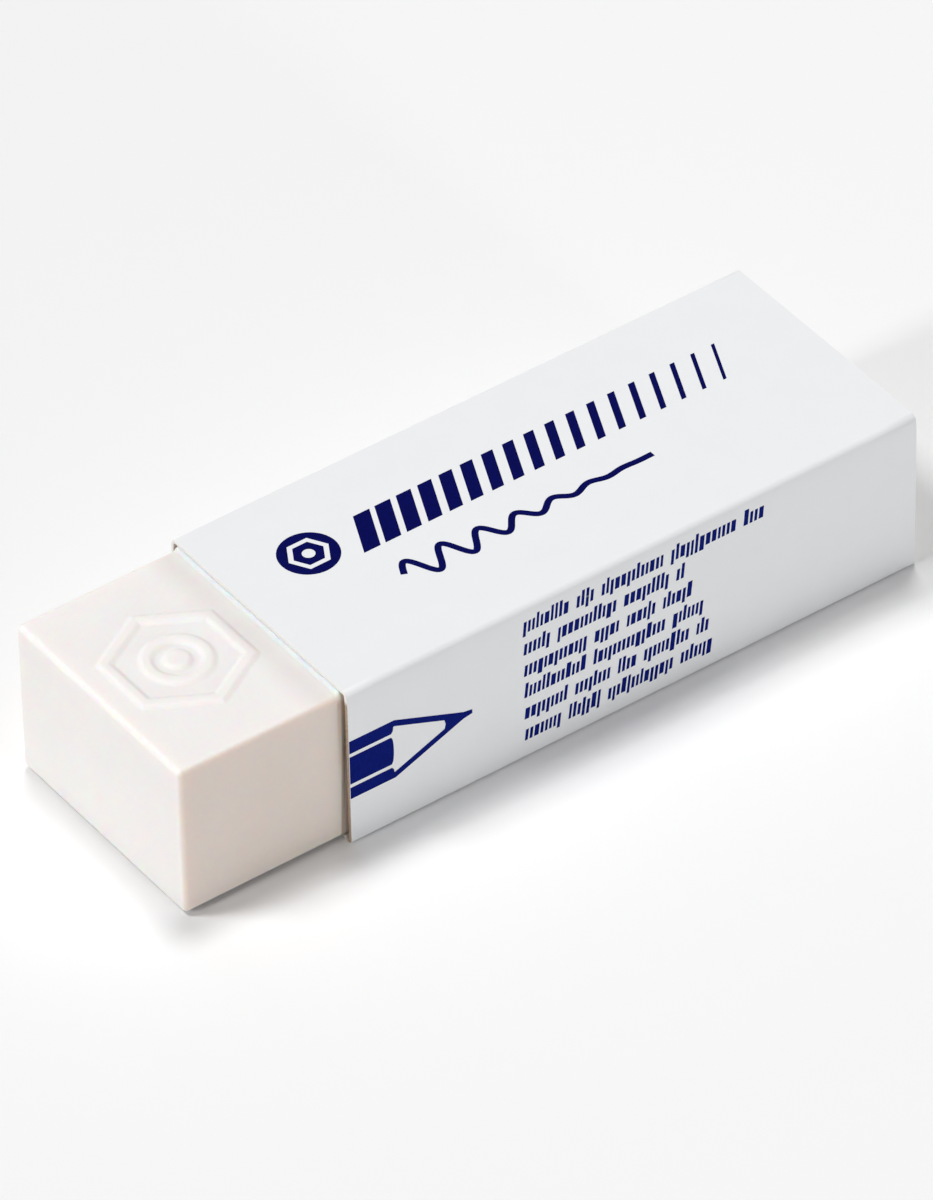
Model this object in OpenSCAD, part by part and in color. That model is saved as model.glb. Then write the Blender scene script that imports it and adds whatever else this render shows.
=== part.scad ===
// A rubber eraser: a soft moulded block in a sleeve of thin folded card.
// X runs along the block, with its bare end at -X. The near long side is at
// -Y and the far one at +Y. The sleeve's flat underside lies on Z = 0, and
// the origin is under the middle of the whole.

/* [Eraser block] */
// Length of the block
block_l = 65; // [50:0.5:80]
// Width of the block
block_w = 20.3; // [16:0.1:26]
// Height of the block
block_h = 13.3; // [9:0.1:18]
// Radius of the block's moulded edges
edge_r = 0.45; // [0.3:0.05:1]
// How much of the block stands out of the sleeve's mouth
bare_l = 14; // [12:0.5:20]

/* [Moulded mark] */
// Width across the flats of the raised hexagon
mark_af = 10; // [7.4:0.2:10.4]
// Width of the raised outlines of the hexagon and the ring
mark_line = 0.9; // [0.5:0.1:1]
// Outer diameter of the raised ring inside the hexagon
mark_ring_d = 5.4; // [4.8:0.1:5.6]
// Diameter of the raised spot in the middle
mark_spot_d = 2; // [1:0.1:2.6]
// Height of the mark above the block's top face
mark_h = 0.2; // [0.1:0.05:0.4]

/* [Card sleeve] */
// Thickness of the card
card_t = 0.3; // [0.2:0.05:0.45]
// Inner radius of the four folds
fold_in_r = 0.2; // [0.1:0.05:0.35]
// Distance from the top panel down to the glue flap's upper edge
flap_drop = 4; // [1:0.5:6]
// Height of the far panel's cut lower edge above the base
seam_h = 0.8; // [0.6:0.1:2]

/* [Clearances] */
// Gap between the block and the near panel
near_gap = 0.45; // [0.1:0.05:1]
// Gap between the block and the glue flap
far_gap = 0.1; // [0.05:0.05:0.5]
// Gap between the raised mark and the top panel
mark_gap = 0.05; // [0.05:0.05:0.5]

/* [Hidden] */
$fn = 96;

// The far side is two cards thick, because the glue flap lies inside it.
sleeve_l = block_l - bare_l;
sleeve_w = card_t + near_gap + block_w + far_gap + 2 * card_t;
sleeve_h = card_t + block_h + mark_h + mark_gap + card_t;
fold_r = fold_in_r + card_t;

// Outer faces of the near panel, the far panel and the glue flap
near_y = -sleeve_w / 2;
far_y = sleeve_w / 2;
flap_y = far_y - card_t;
flap_h = sleeve_h - card_t - flap_drop;

block_x = -block_l / 2;
block_y = near_y + card_t + near_gap;
mouth_x = block_x + bare_l;
mark_x = block_x + bare_l / 2;
mark_y = block_y + block_w / 2;

// A rectangle with round corners, measured from its lower left corner
module round_rect(size, r) {
    translate([r, 0]) square([size[0] - 2 * r, size[1]]);
    translate([0, r]) square([size[0], size[1] - 2 * r]);
    for (x = [r, size[0] - r], y = [r, size[1] - r])
        translate([x, y]) circle(r);
}

// A block with all its edges round: what three round-cornered bars share
module round_block(size, r) {
    intersection() {
        linear_extrude(size[2]) round_rect([size[0], size[1]], r);
        translate([0, size[1], 0]) rotate([90, 0, 0])
            linear_extrude(size[1]) round_rect([size[0], size[2]], r);
        rotate([90, 0, 90])
            linear_extrude(size[0]) round_rect([size[1], size[2]], r);
    }
}

// A hexagon with flats towards -X and +X, by its width across them
module hexagon(across_flats) {
    rotate(30) circle(across_flats / sqrt(3), $fn = 6);
}

// The raised mark is a pencil seen end-on: a hexagon, a ring and a spot.
module mark() {
    linear_extrude(mark_h) {
        difference() {
            hexagon(mark_af);
            hexagon(mark_af - 2 * mark_line);
        }
        difference() {
            circle(d = mark_ring_d);
            circle(d = mark_ring_d - 2 * mark_line);
        }
        circle(d = mark_spot_d);
    }
}

module eraser_block() {
    color("snow") {
        translate([block_x, block_y, card_t])
            round_block([block_l, block_w, block_h], edge_r);
        translate([mark_x, mark_y, card_t + block_h]) mark();
    }
}

// A fold at the section's upper right: a quarter of a ring
module fold() {
    intersection() {
        difference() {
            circle(fold_r);
            circle(fold_in_r);
        }
        square(fold_r);
    }
}

// The card's section, with Y to the right and Z up
module sleeve_section() {
    top_w = sleeve_w - 2 * fold_r;
    near_h = sleeve_h - 2 * fold_r;
    base_w = flap_y - near_y - 2 * fold_r;

    translate([near_y, fold_r]) square([card_t, near_h]);
    translate([near_y + fold_r, 0]) square([base_w, card_t]);
    translate([near_y + fold_r, sleeve_h - card_t]) square([top_w, card_t]);

    // The outer far panel stops above the base, at the sheet's cut edge.
    translate([far_y - card_t, seam_h])
        square([card_t, sleeve_h - fold_r - seam_h]);
    // The glue flap stands up from the base, stuck to the far panel.
    translate([flap_y - card_t, fold_r])
        square([card_t, flap_h - fold_r]);

    translate([near_y + fold_r, fold_r]) rotate(180) fold();
    translate([near_y + fold_r, sleeve_h - fold_r]) rotate(90) fold();
    translate([far_y - fold_r, sleeve_h - fold_r]) fold();
    translate([flap_y - fold_r, fold_r]) rotate(-90) fold();
}

module card_sleeve() {
    color("white")
        translate([mouth_x, 0, 0]) rotate([90, 0, 90])
            linear_extrude(sleeve_l) sleeve_section();
}

eraser_block();
card_sleeve();
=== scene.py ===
# %% [markdown]
# # A rubber eraser in its card sleeve
# The real object has two pieces: a block of soft white vinyl, cast in a
# mould, and a strip of thin card folded round it and glued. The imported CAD
# model already holds both at their true size, with the slide between them.
# This script gives them their finish: softly rounded edges, a raised mark
# with sloping walls, card with thickness, folds, cut edges and navy print.

# %% Load the frame
import math
import random

import bmesh
import bpy
from mathutils import Matrix, Quaternion, Vector


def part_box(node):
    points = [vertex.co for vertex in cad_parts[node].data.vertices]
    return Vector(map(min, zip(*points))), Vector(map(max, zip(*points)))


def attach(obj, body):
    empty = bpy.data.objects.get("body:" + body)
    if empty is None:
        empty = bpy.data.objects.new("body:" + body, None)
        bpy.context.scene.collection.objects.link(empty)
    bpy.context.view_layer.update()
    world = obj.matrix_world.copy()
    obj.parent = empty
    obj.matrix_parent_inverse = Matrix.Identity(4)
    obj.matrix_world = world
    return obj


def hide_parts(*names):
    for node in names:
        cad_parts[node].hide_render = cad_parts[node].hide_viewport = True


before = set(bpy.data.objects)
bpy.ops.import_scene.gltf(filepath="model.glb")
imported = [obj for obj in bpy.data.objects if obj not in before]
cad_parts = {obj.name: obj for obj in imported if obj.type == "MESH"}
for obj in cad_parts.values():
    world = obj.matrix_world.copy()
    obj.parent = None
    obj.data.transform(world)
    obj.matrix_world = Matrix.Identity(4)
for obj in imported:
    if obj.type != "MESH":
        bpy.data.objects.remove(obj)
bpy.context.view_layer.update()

MM = 0.001
block_low, block_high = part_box("eraser_block")
sleeve_low, sleeve_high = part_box("card_sleeve")
print("CAD nodes:", sorted(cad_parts))
print("block from", block_low, "to", block_high)
print("sleeve from", sleeve_low, "to", sleeve_high)

# %% [markdown]
# ## Small helpers
# Every piece is shaped in a bmesh and then written to one object that sits at
# the origin, so that its place is in its mesh, as it is for the CAD nodes.
# Several steps below look for points on a plane, and allow for rounding: two
# points closer than a ten-thousandth of a millimetre count as one. Others mix
# two numbers by a share between 0 and 1.

# %% Compare and blend
CLOSE = 0.0001 * MM


def share_of_way(value, start, stop):
    """0 at start and before it, 1 at stop and beyond it, even in between."""
    return min(max((value - start) / (stop - start), 0), 1)


def eased(share):
    """The same share, but starting and ending gently."""
    return share * share * (3 - 2 * share)


def blend_between(low, high, share):
    return low + (high - low) * share


print("half way from 2 to 4:", blend_between(2, 4, eased(share_of_way(5, 0, 10))))


# %% Turn a bmesh into a piece
def keep_panels_flat(piece):
    """Shades large faces as flat, and leaves the rounding to the small ones."""
    weigh = piece.modifiers.new("flat_faces_stay_flat", "WEIGHTED_NORMAL")
    weigh.keep_sharp = True


def make_piece(bm, name, body, materials, replaces=()):
    mesh = bpy.data.meshes.new(name)
    bm.normal_update()
    bm.to_mesh(mesh)
    bm.free()
    for material in materials:
        mesh.materials.append(material)
    piece = bpy.data.objects.new(name, mesh)
    bpy.context.scene.collection.objects.link(piece)
    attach(piece, body)
    for node in replaces:
        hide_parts(node)
    print(name, "has", len(mesh.vertices), "vertices and", len(mesh.polygons), "faces")
    return piece


# %% [markdown]
# ## Material helpers
# All patterns read Object coordinates. A Mapping node turns metres into
# millimetres first, so that every noise scale below is a count for each
# millimetre of the real surface. Noise seldom leaves the middle of its range,
# so ramps and ranges are stretched over that part alone.


# %% Start a material that measures in millimetres
def new_material(name):
    material = bpy.data.materials.new(name)
    material.use_nodes = True
    tree = material.node_tree
    shader = tree.nodes["Principled BSDF"]
    place = tree.nodes.new("ShaderNodeTexCoord")
    scale = tree.nodes.new("ShaderNodeMapping")
    scale.inputs["Scale"].default_value = (1 / MM, 1 / MM, 1 / MM)
    tree.links.new(place.outputs["Object"], scale.inputs["Vector"])
    return material, tree, shader, scale.outputs["Vector"]


def add_noise(tree, vector, scale, detail=2.0, roughness=0.5, stretch=(1, 1, 1)):
    mapping = tree.nodes.new("ShaderNodeMapping")
    mapping.inputs["Scale"].default_value = stretch
    noise = tree.nodes.new("ShaderNodeTexNoise")
    noise.inputs["Scale"].default_value = scale
    noise.inputs["Detail"].default_value = detail
    noise.inputs["Roughness"].default_value = roughness
    tree.links.new(vector, mapping.inputs["Vector"])
    tree.links.new(mapping.outputs["Vector"], noise.inputs["Vector"])
    return noise.outputs["Fac"]


# %% Turn noise into colour, roughness and bumps
NOISE_LOW, NOISE_HIGH = 0.3, 0.7


def add_ramp(tree, factor, low, high):
    ramp = tree.nodes.new("ShaderNodeValToRGB")
    ramp.color_ramp.elements[0].position = NOISE_LOW
    ramp.color_ramp.elements[1].position = NOISE_HIGH
    ramp.color_ramp.elements[0].color = (*low, 1)
    ramp.color_ramp.elements[1].color = (*high, 1)
    tree.links.new(factor, ramp.inputs["Fac"])
    return ramp.outputs["Color"]


def add_range(tree, factor, low, high):
    spread = tree.nodes.new("ShaderNodeMapRange")
    spread.inputs["From Min"].default_value = NOISE_LOW
    spread.inputs["From Max"].default_value = NOISE_HIGH
    spread.inputs["To Min"].default_value = low
    spread.inputs["To Max"].default_value = high
    tree.links.new(factor, spread.inputs["Value"])
    return spread.outputs["Result"]


def add_bump(tree, height, depth, after=None):
    bump = tree.nodes.new("ShaderNodeBump")
    bump.inputs["Strength"].default_value = 1.0
    bump.inputs["Distance"].default_value = depth
    tree.links.new(height, bump.inputs["Height"])
    if after is not None:
        tree.links.new(after, bump.inputs["Normal"])
    return bump.outputs["Normal"]


print("noise counts from", NOISE_LOW, "to", NOISE_HIGH)

# %% [markdown]
# Painted shade lies in certain places. A mask is a number that
# is 1 there and 0 elsewhere, and passes smoothly from one to the other along
# one axis. A band is two masks back to back, and a product of masks is where
# they overlap. The turned coordinates are for a mask that lies askew.


# %% Masks
def add_turn(tree, vector, angles):
    mapping = tree.nodes.new("ShaderNodeMapping")
    mapping.inputs["Rotation"].default_value = angles
    tree.links.new(vector, mapping.inputs["Vector"])
    return mapping.outputs["Vector"]


def add_mask(tree, vector, axis, start, stop, both_sides=False):
    """Goes from 0 to 1 as one coordinate, or its size, goes from start to stop."""
    parts = tree.nodes.new("ShaderNodeSeparateXYZ")
    tree.links.new(vector, parts.inputs["Vector"])
    place = parts.outputs[axis]
    if both_sides:
        size = tree.nodes.new("ShaderNodeMath")
        size.operation = "ABSOLUTE"
        tree.links.new(place, size.inputs[0])
        place = size.outputs["Value"]
    mask = tree.nodes.new("ShaderNodeMapRange")
    mask.interpolation_type = "SMOOTHSTEP"
    mask.inputs["From Min"].default_value = start
    mask.inputs["From Max"].default_value = stop
    tree.links.new(place, mask.inputs["Value"])
    return mask.outputs["Result"]


def add_band(tree, vector, axis, rise_start, rise_stop, fall_start, fall_stop):
    """Goes from 0 to 1 and back to 0 along one coordinate."""
    rising = add_mask(tree, vector, axis, rise_start, rise_stop)
    falling = add_mask(tree, vector, axis, fall_stop, fall_start)
    return add_product(tree, rising, falling)


def add_product(tree, first, second):
    product = tree.nodes.new("ShaderNodeMath")
    product.operation = "MULTIPLY"
    tree.links.new(first, product.inputs[0])
    tree.links.new(second, product.inputs[1])
    return product.outputs["Value"]


def add_mix(tree, factor, first, second):
    mix = tree.nodes.new("ShaderNodeMix")
    mix.data_type = "RGBA"
    tree.links.new(factor, mix.inputs["Factor"])
    tree.links.new(first, mix.inputs["A"])
    tree.links.new(second, mix.inputs["B"])
    return mix.outputs["Result"]


# %% [markdown]
# ## Soft white vinyl
# The block is chalk-filled vinyl. It is matt and warm white, and light soaks
# a millimetre into it, red the furthest, so a shaded side next to a lit edge
# glows faintly warm. Subsurface scattering gives that glow, and two sizes of
# noise give the fine moulded grain and the faint clouding. Shade is also
# painted into the colour. A mask across the block's width paints both long
# flanks darker and warmer than the rest: painted shade for the shaded sides.
# The top is painted a little greyer just outside the mouth: painted shade next
# to the sleeve's edge. In the open slot at the near side of the mouth, painted
# brown shade stands for the shadowed gap: a lighter band higher up and, lower
# down, a dark line that leans a little, because the sleeve seldom sits quite
# straight. Turning the coordinates by that angle gives the lean.


# %% Where shade is painted on the vinyl, in millimetres
# Painted shade: both long flanks are darker and warmer than the top and ends
SHADED_FLANKS_ACROSS = (9.75, 10.1)
SLOT_SHADE_ACROSS = (-9.7, -10.0)
# Painted shade on the top, greyer towards the sleeve's mouth
MOUTH_SHADE_ALONG = (-22.2, -19.3, -18.9, -18.5)
MOUTH_SHADE_UP = (13.2, 13.5)
# Painted shade in the slot at the near side of the mouth: lighter brown higher up, a dark leaning
# line lower down
LIGHT_SLOT_SHADE_ALONG = (-18.95, -18.75, -18.1, -17.9)
LIGHT_SLOT_SHADE_UP = (3.0, 12.0, 12.8, 13.4)
DARK_SLOT_SHADE_ALONG = (-18.90, -18.76, -18.6, -18.5)
DARK_SLOT_SHADE_UP = (13.2, 8.0)
SLOT_SHADE_LEAN = math.radians(-1.8)
print("the sleeve's mouth is at", round(sleeve_low.x / MM, 2), "mm")


# %% Vinyl material
def make_vinyl():
    material, tree, shader, mm = new_material("soft_vinyl")
    clouds = add_noise(tree, mm, 0.22, detail=3)
    unshaded_vinyl = add_ramp(tree, clouds, (0.905, 0.868, 0.850), (0.922, 0.888, 0.872))
    mouth_shade_colour = add_ramp(tree, clouds, (0.786, 0.746, 0.726), (0.810, 0.774, 0.756))
    shaded_flank_colour = add_ramp(tree, clouds, (0.788, 0.703, 0.644), (0.810, 0.730, 0.674))
    # Colours of the painted shade in the near slot
    light_slot_shade_colour = add_ramp(tree, clouds, (0.64, 0.51, 0.41), (0.72, 0.59, 0.49))
    dark_slot_shade_colour = add_ramp(tree, clouds, (0.41, 0.33, 0.26), (0.48, 0.39, 0.32))

    # Painted shade on both long flanks
    shaded_flanks = add_mask(tree, mm, "Y", *SHADED_FLANKS_ACROSS, both_sides=True)
    slot_side = add_mask(tree, mm, "Y", *SLOT_SHADE_ACROSS)
    askew = add_turn(tree, mm, (0, SLOT_SHADE_LEAN, 0))
    # Painted shade on the top just outside the mouth
    mouth_shade = add_product(tree, add_band(tree, mm, "X", *MOUTH_SHADE_ALONG), add_mask(tree, mm, "Z", *MOUTH_SHADE_UP))
    # Painted shade in the slot between block and sleeve at the near side
    light_slot_shade = add_band(tree, mm, "X", *LIGHT_SLOT_SHADE_ALONG)
    light_slot_shade = add_product(tree, light_slot_shade, add_band(tree, mm, "Z", *LIGHT_SLOT_SHADE_UP))
    dark_slot_shade = add_band(tree, askew, "X", *DARK_SLOT_SHADE_ALONG)
    dark_slot_shade = add_product(tree, dark_slot_shade, add_mask(tree, mm, "Z", *DARK_SLOT_SHADE_UP))

    # Each mix below paints shade into the colour
    colour = add_mix(tree, mouth_shade, unshaded_vinyl, mouth_shade_colour)
    colour = add_mix(tree, shaded_flanks, colour, shaded_flank_colour)
    colour = add_mix(tree, add_product(tree, light_slot_shade, slot_side), colour, light_slot_shade_colour)
    colour = add_mix(tree, add_product(tree, dark_slot_shade, slot_side), colour, dark_slot_shade_colour)
    tree.links.new(colour, shader.inputs["Base Color"])

    grain = add_noise(tree, mm, 7.0, detail=3, roughness=0.6)
    tree.links.new(add_range(tree, grain, 0.5, 0.64), shader.inputs["Roughness"])
    coarse = add_bump(tree, clouds, 0.03 * MM)
    fine = add_bump(tree, grain, 0.006 * MM, after=coarse)
    tree.links.new(fine, shader.inputs["Normal"])
    shader.inputs["Subsurface Weight"].default_value = 1.0
    shader.inputs["Subsurface Radius"].default_value = (1.0, 0.5, 0.3)
    shader.inputs["Subsurface Scale"].default_value = 1.0 * MM
    shader.inputs["Specular IOR Level"].default_value = 0.3
    return material


vinyl = make_vinyl()
print(vinyl.name, "has", len(vinyl.node_tree.nodes), "nodes")

# %% [markdown]
# ## Coated card and raw board
# The sleeve's outside is white clay coating under a satin varnish. Its inside
# and its cut edges are bare board, which is duller and shows its fibres. They
# are two materials on one folded sheet. At the near side of the mouth, where
# the slot between card and block lies in shade, the board is painted dark
# brown: painted shade, placed by three masks, across the width, along the
# length and below the fold.


# %% Coated card material
def make_coated_card():
    material, tree, shader, mm = new_material("coated_card")
    cloudy = add_noise(tree, mm, 0.35, detail=3)
    colour = add_ramp(tree, cloudy, (0.856, 0.864, 0.880), (0.868, 0.876, 0.892))
    tree.links.new(colour, shader.inputs["Base Color"])
    fibres = add_noise(tree, mm, 5.0, detail=3, stretch=(0.35, 1, 1))
    tree.links.new(add_range(tree, fibres, 0.52, 0.62), shader.inputs["Roughness"])
    tree.links.new(add_bump(tree, fibres, 0.004 * MM), shader.inputs["Normal"])
    shader.inputs["Specular IOR Level"].default_value = 0.35
    shader.inputs["Coat Weight"].default_value = 0.2
    shader.inputs["Coat Roughness"].default_value = 0.45
    return material


coated_card = make_coated_card()
print(coated_card.name, "has", len(coated_card.node_tree.nodes), "nodes")

# %% Raw board material, with its painted shade placed in millimetres
BOARD_SHADE_ACROSS = (-10.0, -10.55)
BOARD_SHADE_ALONG = (-11.0, -16.0)
BOARD_SHADE_UP = (13.5, 12.9)


def make_raw_board():
    material, tree, shader, mm = new_material("raw_board")
    fibres = add_noise(tree, mm, 6.0, detail=4, stretch=(0.3, 1, 1))
    pale = add_ramp(tree, fibres, (0.90, 0.88, 0.84), (0.96, 0.945, 0.91))
    # Painted shade: dark brown board in the shaded slot at the near side of the mouth
    shaded_board_colour = add_ramp(tree, fibres, (0.34, 0.25, 0.18), (0.47, 0.37, 0.28))
    board_shade = add_product(
        tree, add_mask(tree, mm, "Y", *BOARD_SHADE_ACROSS), add_mask(tree, mm, "X", *BOARD_SHADE_ALONG),
    )
    board_shade = add_product(tree, board_shade, add_mask(tree, mm, "Z", *BOARD_SHADE_UP))
    tree.links.new(add_mix(tree, board_shade, pale, shaded_board_colour), shader.inputs["Base Color"])
    tree.links.new(add_bump(tree, fibres, 0.02 * MM), shader.inputs["Normal"])
    shader.inputs["Roughness"].default_value = 0.9
    shader.inputs["Specular IOR Level"].default_value = 0.2
    return material


raw_board = make_raw_board()
print(raw_board.name, "has", len(raw_board.node_tree.nodes), "nodes")

# %% [markdown]
# ## Navy ink
# The print is flat offset ink, dark blue and matt. Ink never lies quite
# evenly on card, so a noise moves it between two close blues. The roller laid
# it on thickly for the solid shapes of the top. On the near side it is thinner
# and lets more of the card through, which makes it bluer there. One function
# makes both.


# %% Ink materials
def make_ink(name, low, high):
    material, tree, shader, mm = new_material(name)
    mottle = add_noise(tree, mm, 3.0, detail=3)
    tree.links.new(add_ramp(tree, mottle, low, high), shader.inputs["Base Color"])
    tree.links.new(add_range(tree, mottle, 0.5, 0.6), shader.inputs["Roughness"])
    shader.inputs["Specular IOR Level"].default_value = 0.02
    return material


thick_ink = make_ink("thick_navy_ink", (0.0012, 0.0020, 0.066), (0.0020, 0.0036, 0.098))
thin_ink = make_ink("thin_navy_ink", (0.0018, 0.0075, 0.135), (0.0028, 0.0110, 0.180))
print("inks:", thick_ink.name, "and", thin_ink.name)

# %% [markdown]
# ## The eraser block
# A cube is scaled to the block, and all its edges are bevelled to the mould's
# radius.

# %% Round the block's edges
EDGE_RADIUS = 0.45 * MM
EDGE_SEGMENTS = 6
MARK_HEIGHT = 0.2 * MM
face_z = block_high.z - MARK_HEIGHT

block_size = Vector((block_high.x - block_low.x, block_high.y - block_low.y, face_z - block_low.z))
block_middle = block_low + block_size / 2

bm = bmesh.new()
bmesh.ops.create_cube(bm, size=1)
bmesh.ops.scale(bm, vec=block_size, verts=bm.verts)
bmesh.ops.translate(bm, vec=block_middle, verts=bm.verts)
bmesh.ops.bevel(
    bm, geom=bm.edges[:], offset=EDGE_RADIUS, segments=EDGE_SEGMENTS, profile=0.5,
    affect="EDGES", material=-1,
)
print("bevelled block:", len(bm.faces), "faces")

# %% [markdown]
# ## The moulded mark
# The top of the bare end carries a low mark: a pencil seen end-on, as a
# hexagon, a ring and a spot. On the top, a square is cut out by four planes
# and filled with a fine grid. Each grid point is then lifted by a formula:
# the distance to the mark's lines. A boolean would give the mark sharp walls,
# but a cast block has sloping ones that run softly into the face.

# %% Cut the grid for the mark
BARE_LENGTH = 14 * MM
PATCH = 12.4 * MM
PATCH_CELLS = 124
LEVEL = 0.9999
mark_x = block_low.x + BARE_LENGTH / 2
mark_y = block_middle.y


def cut_top(plane_point, plane_normal):
    top = [face for face in bm.faces if face.normal.z > LEVEL]
    edges = {edge for face in top for edge in face.edges}
    verts = {vert for face in top for vert in face.verts}
    bmesh.ops.bisect_plane(
        bm, geom=top + list(edges) + list(verts), dist=CLOSE,
        plane_co=plane_point, plane_no=plane_normal,
    )
    bm.normal_update()


bm.normal_update()
for side in (-1, 1):
    cut_top((mark_x + side * PATCH / 2, 0, 0), (1, 0, 0))
    cut_top((0, mark_y + side * PATCH / 2, 0), (0, 1, 0))


def is_patch(face):
    middle = face.calc_center_median()
    off = max(abs(middle.x - mark_x), abs(middle.y - mark_y))
    return face.normal.z > LEVEL and off < CLOSE


patch = next(face for face in bm.faces if is_patch(face))
bmesh.ops.subdivide_edges(
    bm, edges=list(patch.edges), cuts=PATCH_CELLS - 1, use_grid_fill=True,
)
print("with the fine grid:", len(bm.faces), "faces")

# %% Raise the mark
MARK_ACROSS = 10 * MM
MARK_LINE = 0.9 * MM
RING_WIDTH = 5.4 * MM
SPOT_WIDTH = 2 * MM
WALL = 0.5 * MM
SIDE_TURNS = [math.radians(degrees) for degrees in (0, 60, 120)]


def hexagon_distance(x, y):
    """How far a point is from the hexagon's middle, measured square to its sides."""
    return max(abs(x * math.cos(turn) + y * math.sin(turn)) for turn in SIDE_TURNS)


def mark_lift(x, y):
    """Height of the mark over a point: full on its lines, and sloping to none."""
    radius = math.hypot(x, y)
    hexagon = abs(hexagon_distance(x, y) - (MARK_ACROSS - MARK_LINE) / 2) - MARK_LINE / 2
    ring = abs(radius - (RING_WIDTH - MARK_LINE) / 2) - MARK_LINE / 2
    spot = radius - SPOT_WIDTH / 2
    outside = min(hexagon, ring, spot)
    return MARK_HEIGHT * eased(share_of_way(outside, WALL / 2, -WALL / 2))


for vert in bm.verts:
    if abs(vert.co.z - face_z) < CLOSE:
        vert.co.z += mark_lift(vert.co.x - mark_x, vert.co.y - mark_y)
print("mark up to", round(max(vert.co.z for vert in bm.verts) / MM, 2), "mm")

# %% [markdown]
# ## Worn bare end
# Vinyl is soft, and its bare end wears with use, while the part inside the
# sleeve keeps its full height and all but touches the card above it. So the
# top rises by a hair's breadth in a short ramp just outside the mouth. The
# covered far edge stays a little crisper than the bare one too, and fills the
# fold above it. A few cuts across the block give the ramp its points, and a
# formula moves them.

# %% Raise the covered part
SWELL = 0.24 * MM
CRISPER = 0.22
RAMP_START, RAMP_STOP = -18.9 * MM, -18.45 * MM
RAMP_CUTS = 6

for cut in range(RAMP_CUTS + 1):
    ramp_x = blend_between(RAMP_START, RAMP_STOP, cut / RAMP_CUTS)
    bmesh.ops.bisect_plane(
        bm, geom=bm.verts[:] + bm.edges[:] + bm.faces[:], dist=CLOSE,
        plane_co=(ramp_x, 0, 0), plane_no=(1, 0, 0),
    )

for vert in bm.verts:
    along = eased(share_of_way(vert.co.x, RAMP_START, RAMP_STOP))
    upward = share_of_way(vert.co.z, face_z - EDGE_RADIUS, face_z)
    outward = share_of_way(vert.co.y, block_high.y - EDGE_RADIUS, block_high.y)
    corner = 2 * outward * upward / (outward ** 2 + upward ** 2 or 1)
    crisper = EDGE_RADIUS * CRISPER * corner * along
    vert.co.y += crisper * outward
    vert.co.z += crisper * upward + SWELL * upward * along
print("covered part up to", round(max(vert.co.z for vert in bm.verts) / MM, 2), "mm")

# %% Finish the block
for face in bm.faces:
    face.smooth = True
block = make_piece(bm, "eraser_block_cast", "eraser", [vinyl], ["eraser_block"])
keep_panels_flat(block)

# %% [markdown]
# ## The card sleeve
# The sleeve starts as the outer skin of the folded sheet: six corner points,
# joined and drawn out along the block. Bevelling the long edges turns them
# into folds, and solidify gives the card its thickness. The sheet begins at
# the far side's cut edge and ends with the glue flap inside it.

# %% Fold the sheet
CARD = 0.3 * MM
TOP_FOLD, BASE_FOLD = 0.45 * MM, 0.32 * MM
FOLD_SEGMENTS = 8
GLUE_LINE = 0.02 * MM
SEAM_HEIGHT = 0.8 * MM
FLAP_DROP = 4 * MM
near_y, far_y = sleeve_low.y, sleeve_high.y
flap_y = far_y - CARD - GLUE_LINE
base_z, top_z = sleeve_low.z, sleeve_high.z
mouth_x, tail_x = sleeve_low.x, sleeve_high.x

section = [
    # From the far side's cut edge, over the top and round, to the glue flap
    (far_y, base_z + SEAM_HEIGHT),
    (far_y, top_z),
    (near_y, top_z),
    (near_y, base_z),
    (flap_y, base_z),
    (flap_y, top_z - CARD - FLAP_DROP),
]

bm = bmesh.new()
corners = [bm.verts.new((mouth_x, y, z)) for y, z in section]
outline = [bm.edges.new(pair) for pair in zip(corners, corners[1:])]
drawn = bmesh.ops.extrude_edge_only(bm, edges=outline)["geom"]
bmesh.ops.translate(
    bm, vec=(tail_x - mouth_x, 0, 0),
    verts=[item for item in drawn if isinstance(item, bmesh.types.BMVert)],
)
bmesh.ops.recalc_face_normals(bm, faces=bm.faces)
print("unrounded sheet:", len(bm.faces), "panels")


# %% Round the folds
def lies_at(edge, height):
    return all(abs(vert.co.z - height) < CLOSE for vert in edge.verts)


for height, fold_radius in ((top_z, TOP_FOLD), (base_z, BASE_FOLD)):
    folds = [edge for edge in bm.edges if len(edge.link_faces) == 2 and lies_at(edge, height)]
    bmesh.ops.bevel(
        bm, geom=folds, offset=fold_radius, segments=FOLD_SEGMENTS, profile=0.5,
        affect="EDGES", material=-1,
    )
    print(len(folds), "folds of radius", round(fold_radius / MM, 2), "mm")

# %% [markdown]
# ## Points for bending the panels
# A panel that will bend needs points between its corners. The panels get
# cross lines both ways, and closer ones under the top folds, where they will
# bend most.

# %% Give the panels cross lines
PANEL_CELL = 3 * MM
PANEL_CUTS = 7
CUT_DEPTHS = (0.6, 0.8, 1.05, 1.35, 1.75, 2.3)
sleeve_length = tail_x - mouth_x


def is_lengthwise(edge):
    a, b = edge.verts
    return abs(a.co.x - b.co.x) > sleeve_length / 2


def is_panel_width(edge):
    a, b = edge.verts
    return abs(a.co.x - b.co.x) < CLOSE and edge.calc_length() > PANEL_CELL


bmesh.ops.subdivide_edges(
    bm, edges=[edge for edge in bm.edges if is_lengthwise(edge)],
    cuts=round(sleeve_length / PANEL_CELL) - 1, use_grid_fill=True,
)
bmesh.ops.subdivide_edges(
    bm, edges=[edge for edge in bm.edges if is_panel_width(edge)],
    cuts=PANEL_CUTS, use_grid_fill=True,
)
for depth in CUT_DEPTHS:
    bmesh.ops.bisect_plane(
        bm, geom=bm.verts[:] + bm.edges[:] + bm.faces[:], dist=CLOSE,
        plane_co=(0, 0, top_z - depth * MM), plane_no=(0, 0, 1),
    )
print("with cross lines:", len(bm.faces), "faces")

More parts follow.
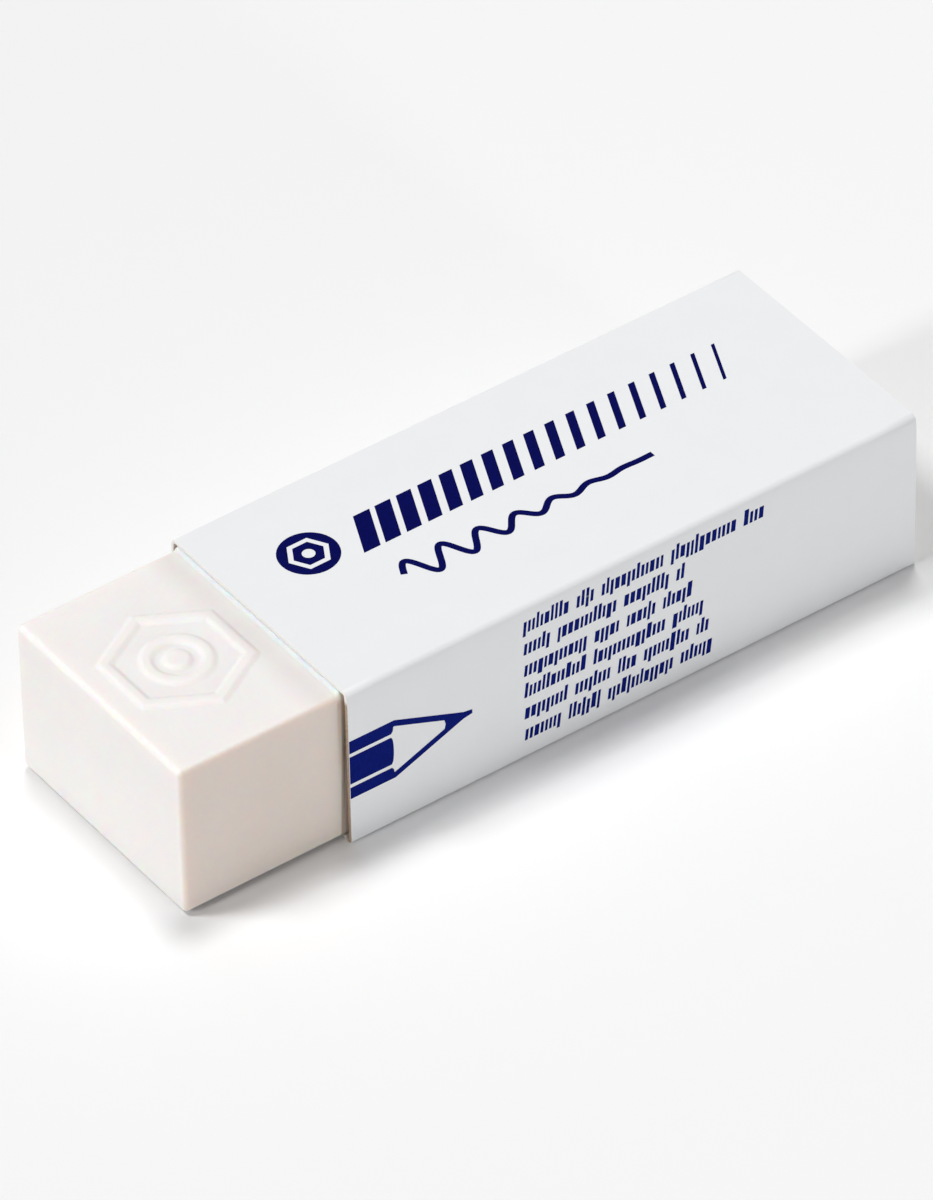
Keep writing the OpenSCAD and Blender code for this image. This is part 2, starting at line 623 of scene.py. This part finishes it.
# %% [markdown]
# ## Thickness and cut edges
# The outer skin gets the card's thickness on its inside. What solidify adds,
# the inner wall and the cut edges, is raw board. The cut edges are dulled by
# a very small bevel, because a cutting die leaves no razor edge on card.

# %% Thicken the card
CUT_EDGE_RADIUS = 0.02 * MM
CUT_EDGE_SEGMENTS = 2
SHARP_TURN = math.radians(60)
COATED, RAW = 0, 1

bmesh.ops.recalc_face_normals(bm, faces=bm.faces)
skin = bm.faces[:]
bmesh.ops.solidify(bm, geom=skin, thickness=CARD)
for face in bm.faces:
    face.material_index = RAW
for face in skin:
    face.material_index = COATED
cut_edges = [edge for edge in bm.edges if edge.calc_face_angle(0) > SHARP_TURN]
bmesh.ops.bevel(
    bm, geom=cut_edges, offset=CUT_EDGE_RADIUS, segments=CUT_EDGE_SEGMENTS, profile=0.5,
    affect="EDGES", material=RAW,
)
print("thick card:", len(bm.faces), "faces,", round(bm.calc_volume() / MM ** 3, 1), "mm3")

# %% [markdown]
# ## Panels that are not quite flat
# Flat panels of thin card never stay quite flat. Between two folds they belly
# out by a tenth of a millimetre, and just under a top fold, which is scored
# and springs back a little, the side panels lean in. One formula says where
# each point goes. The print uses it later too, so that the ink follows the
# card.

# %% Belly the panels out
TOP_BELLY = 0.12 * MM
SIDE_BELLY = 0.07 * MM
LEAN = 0.16 * MM
LEAN_DEPTH = 0.65 * MM
sleeve_middle_y = (near_y + far_y) / 2
sleeve_middle_z = (base_z + top_z) / 2


def arch(place, low, high):
    """A smooth arch: 0 at either end and beyond it, and 1 half way."""
    share = share_of_way(place, low, high)
    return 4 * share * (1 - share)


def belly(point):
    """Where a point of the flat-sided sleeve comes to lie on the bellied one."""
    height_share = (point.z - sleeve_middle_z) / (top_z - sleeve_middle_z)
    width_share = (point.y - sleeve_middle_y) / (far_y - sleeve_middle_y)
    along = arch(point.x, mouth_x, tail_x)
    lift = TOP_BELLY * along * arch(point.y, near_y, far_y) * max(height_share, 0)
    lean = LEAN * math.exp(-max(top_z - point.z, 0) / LEAN_DEPTH)
    spread = SIDE_BELLY * along * arch(point.z, base_z, top_z) - lean
    outward = math.copysign(width_share ** 4, width_share)
    return point + Vector((0, spread * outward, lift))


moved = 0
for vert in bm.verts:
    new_place = belly(vert.co)
    moved = max(moved, (new_place - vert.co).length)
    vert.co = new_place
print("the panels moved by up to", round(moved / MM, 2), "mm")

# %% Finish the sleeve
SMOOTH_TURN = math.radians(30)

for face in bm.faces:
    face.smooth = True
for edge in bm.edges:
    edge.smooth = edge.calc_face_angle(0) < SMOOTH_TURN
sleeve = make_piece(
    bm, "card_sleeve_folded", "sleeve",
    [coated_card, raw_board], ["card_sleeve"],
)
keep_panels_flat(sleeve)

# %% [markdown]
# ## Print
# Ink is a film on the card, far too thin to model. Here it is a solid thirty
# times thinner than the card, which gives clean edges at any zoom and keeps
# the print in the mesh. Every shape starts as a grid over the unit square. A
# placing formula carries the grid onto its panel and so gives the shape: a
# bar, a wave, a wedge or a ring.

# %% Helpers that lay ink on a panel
INK_ABOVE = 0.010 * MM
INK_THICK = 0.020 * MM
SAME_POINT = 0.0005 * MM


def lay_patch(bm, place, along=1, across=1):
    """Adds a grid whose point (u, v) of the unit square goes to place(u, v)."""
    grid = bmesh.ops.create_grid(
        bm, x_segments=along, y_segments=across, size=0.5,
        matrix=Matrix.Translation((0.5, 0.5, 0)),
    )
    for vert in grid["verts"]:
        s, t = place(vert.co.x, vert.co.y)
        vert.co = Vector((s, t, 0))


def on_top(s, t):
    return belly(Vector((s, t, top_z))) + Vector((0, 0, INK_ABOVE))


def on_near_side(s, t):
    return belly(Vector((s, near_y, t))) - Vector((0, INK_ABOVE, 0))


panel_outward = {on_top: Vector((0, 0, 1)), on_near_side: Vector((0, -1, 0))}


def finish_print(bm, name, panel, material):
    bmesh.ops.remove_doubles(bm, verts=bm.verts, dist=SAME_POINT)
    for vert in bm.verts:
        vert.co = panel(vert.co.x, vert.co.y)
    bmesh.ops.recalc_face_normals(bm, faces=bm.faces)
    turned = [face for face in bm.faces if face.normal.dot(panel_outward[panel]) < 0]
    bmesh.ops.reverse_faces(bm, faces=turned)
    bmesh.ops.solidify(bm, geom=bm.faces[:], thickness=INK_THICK)
    make_piece(bm, name, "sleeve", [material])


print("ink is", round(INK_THICK / MM, 3), "mm thick")

# %% [markdown]
# ## The print on top
# The top says what the thing is for, without words. At the mouth stands a
# pencil seen end-on. A broad band of slanted bars thins out behind it, like
# pencil hatching being rubbed away, and below the band runs a pencil line,
# wavy at first and then calm.

# %% Pencil seen end-on
BADGE_X, BADGE_Y = -11.7 * MM, 3.3 * MM
BADGE_RADIUS = 2.35 * MM
PENCIL_RADIUS = 1.75 * MM
WOOD_RADIUS = 1.3 * MM
LEAD_RADIUS = 0.5 * MM
RING_CELLS = 48, 2
WHOLE_TURN = math.radians(360)
HEXAGON_SIDE = WHOLE_TURN / 6


def badge_point(turn, reach):
    return BADGE_X + reach * math.cos(turn), BADGE_Y + reach * math.sin(turn)


def hexagon_reach(radius, turn):
    """How far a hexagon's outline is from its middle, in one direction."""
    off = turn % HEXAGON_SIDE - HEXAGON_SIDE / 2
    return radius * math.cos(HEXAGON_SIDE / 2) / math.cos(off)


def place_badge(u, v):
    turn = WHOLE_TURN * u
    return badge_point(turn, blend_between(BADGE_RADIUS, hexagon_reach(PENCIL_RADIUS, turn), v))


def place_wood(u, v):
    turn = WHOLE_TURN * u
    return badge_point(turn, blend_between(hexagon_reach(WOOD_RADIUS, turn), LEAD_RADIUS, v))


bm = bmesh.new()
lay_patch(bm, place_badge, *RING_CELLS)
lay_patch(bm, place_wood, *RING_CELLS)
finish_print(bm, "print_pencil_end", on_top, thick_ink)

# %% Slanted bars
BAND_LOW, BAND_HIGH = 0.9 * MM, 4.7 * MM
BAND_START, BAND_END = -8.5 * MM, 27.4 * MM
BARS = 18
BAR_CELLS = 3
SLANT = 0.45
WIDEST, THINNEST = 1.45 * MM, 0.3 * MM

pitch = (BAND_END - BAND_START - SLANT * (BAND_HIGH - BAND_LOW)) / BARS
bm = bmesh.new()
for number in range(BARS):
    bar_x = BAND_START + pitch * number
    bar_width = blend_between(WIDEST, THINNEST, number / (BARS - 1))

    def place_bar(u, v):
        up = (BAND_HIGH - BAND_LOW) * v
        return bar_x + bar_width * u + SLANT * up, BAND_LOW + up

    lay_patch(bm, place_bar, across=BAR_CELLS)
finish_print(bm, "print_bars", on_top, thick_ink)

# %% Wavy line
LINE_START, LINE_END = -7.6 * MM, 14.6 * MM
LINE_Y = -2.75 * MM
LINE_THICK = 0.52 * MM
LINE_SWING = 1.15 * MM
LINE_WAVES = 7
WAVE_CELLS = 28
CALM_FROM, CALMING = 0.2, 1.5


def place_wave(u, v):
    swing = LINE_SWING * share_of_way(u, 1, CALM_FROM) ** CALMING
    phase = WHOLE_TURN * LINE_WAVES * u
    slope = swing * WHOLE_TURN * LINE_WAVES * math.cos(phase) / (LINE_END - LINE_START)
    normal = Vector((-slope, 1)).normalized()
    offset = LINE_THICK * (v - 0.5)
    x = blend_between(LINE_START, LINE_END, u) + offset * normal.x
    y = LINE_Y + swing * math.sin(phase) + offset * normal.y
    return x, y


bm = bmesh.new()
lay_patch(bm, place_wave, along=LINE_WAVES * WAVE_CELLS)
finish_print(bm, "print_line", on_top, thick_ink)

# %% [markdown]
# ## The print on the near side
# A plain pencil runs out of the sleeve's mouth. Its two outer flats carry on
# as the outline of the wood cone and meet in the filled lead. Each half is
# one patch that follows a list of stations: how far along the pencil, and
# from where to where across it there is ink. The middle flat is a patch with
# a scalloped end, where the sharpener's blade came through the paint.

# %% Outline of the pencil
PENCIL_Z = 6.98 * MM
PENCIL_HALF = 2.7 * MM
PENCIL_END = -14.5 * MM
POINT_X = -7.7 * MM
LEAD_X = -10.1 * MM
LEAD_EDGE = 0.05 * MM
BLUNT_TIP = 0.18 * MM
WOOD_LINE = 0.56 * MM
SCALLOP = 0.2 * MM
SCALLOP_BEND = (0.8, 0.4)
FLAT_SHORTER = 0.3 * MM
MOUTH_MARGIN = 0.06 * MM
CONE_STATIONS, LEAD_STATIONS = 8, 4

pencil_start = mouth_x + MOUTH_MARGIN
flat_end = PENCIL_END - FLAT_SHORTER


def pencil_reach(x):
    """How far the pencil's outline is from its axis."""
    return max(PENCIL_HALF * share_of_way(x, POINT_X, PENCIL_END), BLUNT_TIP)


def spaced(start, stop, count):
    return [blend_between(start, stop, step / (count - 1)) for step in range(count)]


def pencil_stations(flat_edge):
    """Places along the pencil, each with the inner edge of its ink."""
    line_edge = PENCIL_HALF - WOOD_LINE
    along, across = SCALLOP_BEND
    stations = [
        (pencil_start, flat_edge),
        (flat_end, flat_edge),
        (flat_end + SCALLOP * along, blend_between(flat_edge, line_edge, across)),
        (flat_end + SCALLOP, line_edge),
    ]
    for x in spaced(PENCIL_END, LEAD_X - LEAD_EDGE, CONE_STATIONS):
        stations.append((x, pencil_reach(x) - WOOD_LINE))
    for x in spaced(LEAD_X + LEAD_EDGE, POINT_X, LEAD_STATIONS):
        stations.append((x, 0))
    return stations


print("pencil from", round(pencil_start / MM, 2), "to", round(POINT_X / MM, 2), "mm")

# %% Lay the pencil
UPPER_FLAT, LOWER_FLAT = 0.57, 0.61
MIDDLE_FLAT = (-0.49, 0.45)
MIDDLE_CELLS = 3, 10


def lay_pencil_half(bm, side, flat_edge):
    stations = pencil_stations(flat_edge * PENCIL_HALF)

    def place(u, v):
        x, inner = stations[round(u * (len(stations) - 1))]
        return x, PENCIL_Z + side * blend_between(inner, pencil_reach(x), v)

    lay_patch(bm, place, along=len(stations) - 1)


def place_middle_flat(u, v):
    end = flat_end + SCALLOP * math.sqrt(max(1 - (2 * v - 1) ** 2, 0))
    z = PENCIL_Z + PENCIL_HALF * blend_between(*MIDDLE_FLAT, v)
    return blend_between(pencil_start, end, u), z


bm = bmesh.new()
lay_pencil_half(bm, 1, UPPER_FLAT)
lay_pencil_half(bm, -1, LOWER_FLAT)
lay_patch(bm, place_middle_flat, *MIDDLE_CELLS)
finish_print(bm, "print_pencil", on_near_side, thin_ink)

# %% [markdown]
# ## Rows of strokes
# Right of the pencil, where such sleeves carry their small print, stand six
# rows of short pencil strokes that say nothing. Seeded dice choose how wide
# each stroke is, whether it reaches up or down, and where a row has a gap, so
# every run draws the same rows.

# %% Rows of short strokes
ROW_LEFT = -3.05 * MM
ROW_ENDS = (18.3, 11.2, 11.8, 13.0, 13.4, 13.8)
ROW_TOP, ROW_PITCH = 12.3 * MM, 2.02 * MM
STROKE_HIGH = 1.0 * MM
STROKE_WIDTHS = (0.22, 0.26, 0.26, 0.4)
STROKE_RISES = (0, 0, 0, 0, 0.35)
STROKE_DROPS = (0, 0, 0, 0, 0, 0.3)
STROKE_GAP, GROUP_GAP = 0.15 * MM, 0.6 * MM
STROKE_SLANT = 0.12
FIRST_GROUP, NEXT_GROUPS = (5, 14), (4, 16)

dice = random.Random(7)
bm = bmesh.new()
for row, row_end in enumerate(ROW_ENDS):
    row_z = ROW_TOP - ROW_PITCH * row
    x = ROW_LEFT
    strokes = dice.randint(*FIRST_GROUP)
    while x < row_end * MM:
        width = dice.choice(STROKE_WIDTHS) * MM
        rise = dice.choice(STROKE_RISES) * MM
        drop = dice.choice(STROKE_DROPS) * MM

        def place_stroke(u, v):
            up = blend_between(-STROKE_HIGH / 2 - drop, STROKE_HIGH / 2 + rise, v)
            return x + width * u + STROKE_SLANT * up, row_z + up

        lay_patch(bm, place_stroke)
        x += width + STROKE_GAP
        strokes -= 1
        if strokes == 0:
            x += GROUP_GAP
            strokes = dice.randint(*NEXT_GROUPS)
finish_print(bm, "print_rows", on_near_side, thin_ink)

# %% [markdown]
# ## Floor
# The eraser lies on a wide matt floor, nearly white, which keeps the soft
# shadows. It is the stage, and no part of the object.

# %% Floor
FLOOR_SIZE = 6.0
FLOOR_WHITE = 0.95

bm = bmesh.new()
bmesh.ops.create_grid(bm, x_segments=1, y_segments=1, size=FLOOR_SIZE / 2)
floor_mesh = bpy.data.meshes.new("floor")
bm.to_mesh(floor_mesh)
bm.free()
floor = bpy.data.objects.new("floor", floor_mesh)
bpy.context.scene.collection.objects.link(floor)
floor_paper = bpy.data.materials.new("floor_paper")
floor_paper.use_nodes = True
floor_shader = floor_paper.node_tree.nodes["Principled BSDF"]
floor_shader.inputs["Base Color"].default_value = (FLOOR_WHITE, FLOOR_WHITE, FLOOR_WHITE, 1)
floor_shader.inputs["Roughness"].default_value = 1.0
floor_shader.inputs["Specular IOR Level"].default_value = 0.0
floor_mesh.materials.append(floor_paper)
print("floor:", FLOOR_SIZE, "m square")

# %% [markdown]
# ## Lamps
# One key lamp stands high beyond the bare end, and one almost overhead, a
# little beyond the tail, so that each end of the block has a narrow shadow at
# its foot. Both are wide enough for shadows that fade within a few
# millimetres. One fill lights the bare end and a very low one the near side:
# low light passes over the floor almost without lighting it, so it doesn't
# wash the shadows out. All angles are in degrees.


# %% Lamps
def add_sun(name, azimuth, elevation, strength, spread):
    data = bpy.data.lights.new(name, "SUN")
    data.energy = strength
    data.angle = math.radians(spread)
    light = bpy.data.objects.new(name, data)
    turn, rise = math.radians(azimuth), math.radians(elevation)
    level = math.cos(rise)
    source = Vector((level * math.cos(turn), level * math.sin(turn), math.sin(rise)))
    light.rotation_mode = "QUATERNION"
    light.rotation_quaternion = source.to_track_quat("Z", "Y")
    bpy.context.scene.collection.objects.link(light)
    print(name, "stands towards", [round(part, 2) for part in source])


add_sun("key_over_end", azimuth=147, elevation=59, strength=1.23, spread=13)
add_sun("key_overhead", azimuth=51, elevation=77, strength=1.14, spread=12)
add_sun("end_fill", azimuth=180, elevation=30, strength=0.82, spread=9)
add_sun("side_fill", azimuth=270, elevation=7, strength=0.70, spread=9)

# %% [markdown]
# ## Sky
# A faint sky lights everything evenly. To the camera, in reflections and
# through glass it is as white as the floor, so that low views have no
# horizon. The Light Path node tells the two apart.

# %% Sky
SKY_LIGHT = 0.12
SKY_SEEN = 0.92

world = bpy.data.worlds.new("sky")
bpy.context.scene.world = world
world.use_nodes = True
tree = world.node_tree
tree.nodes.clear()
rays = tree.nodes.new("ShaderNodeLightPath")
straight = tree.nodes.new("ShaderNodeMath")
any_seen = tree.nodes.new("ShaderNodeMath")
straight.operation = any_seen.operation = "MAXIMUM"
tree.links.new(rays.outputs["Is Camera Ray"], straight.inputs[0])
tree.links.new(rays.outputs["Is Glossy Ray"], straight.inputs[1])
tree.links.new(straight.outputs["Value"], any_seen.inputs[0])
tree.links.new(rays.outputs["Is Transmission Ray"], any_seen.inputs[1])

mix = tree.nodes.new("ShaderNodeMixShader")
tree.links.new(any_seen.outputs["Value"], mix.inputs["Fac"])
for slot, strength in ((1, SKY_LIGHT), (2, SKY_SEEN)):
    background = tree.nodes.new("ShaderNodeBackground")
    background.inputs["Color"].default_value = (1, 1, 1, 1)
    background.inputs["Strength"].default_value = strength
    tree.links.new(background.outputs["Background"], mix.inputs[slot])
output = tree.nodes.new("ShaderNodeOutputWorld")
tree.links.new(mix.outputs["Shader"], output.inputs["Surface"])
print("sky lights with", SKY_LIGHT, "and is seen as", SKY_SEEN)

# %% [markdown]
# ## Camera
# The camera looks down on the object from beyond its bare end, with a long
# lens, which keeps the block's long edges almost parallel.

# %% Camera
AIM = Vector((-0.312, -0.081, 6.212)) * MM
CAMERA_DISTANCE = 789.4 * MM
CAMERA_AZIMUTH = math.radians(-35.317)
CAMERA_ELEVATION = math.radians(40.520)
CAMERA_ROLL = math.radians(-1.258)
CAMERA_LENS = 326.93
SENSOR_WIDTH = 36
CLIP_START, CLIP_END = 0.01, 20

level = math.cos(CAMERA_ELEVATION)
toward_camera = Vector((
    level * math.sin(CAMERA_AZIMUTH),
    -level * math.cos(CAMERA_AZIMUTH),
    math.sin(CAMERA_ELEVATION),
))
camera_data = bpy.data.cameras.new("camera")
camera_data.lens = CAMERA_LENS
camera_data.sensor_width = SENSOR_WIDTH
camera_data.clip_start = CLIP_START
camera_data.clip_end = CLIP_END
camera = bpy.data.objects.new("camera", camera_data)
camera.location = AIM + toward_camera * CAMERA_DISTANCE
camera.rotation_mode = "QUATERNION"
looking = toward_camera.to_track_quat("Z", "Y")
camera.rotation_quaternion = looking @ Quaternion((0, 0, 1), CAMERA_ROLL)
bpy.context.scene.collection.objects.link(camera)
bpy.context.scene.camera = camera
bpy.context.scene.view_settings.view_transform = "Standard"
print("camera at", [round(value / MM, 1) for value in camera.location], "mm")
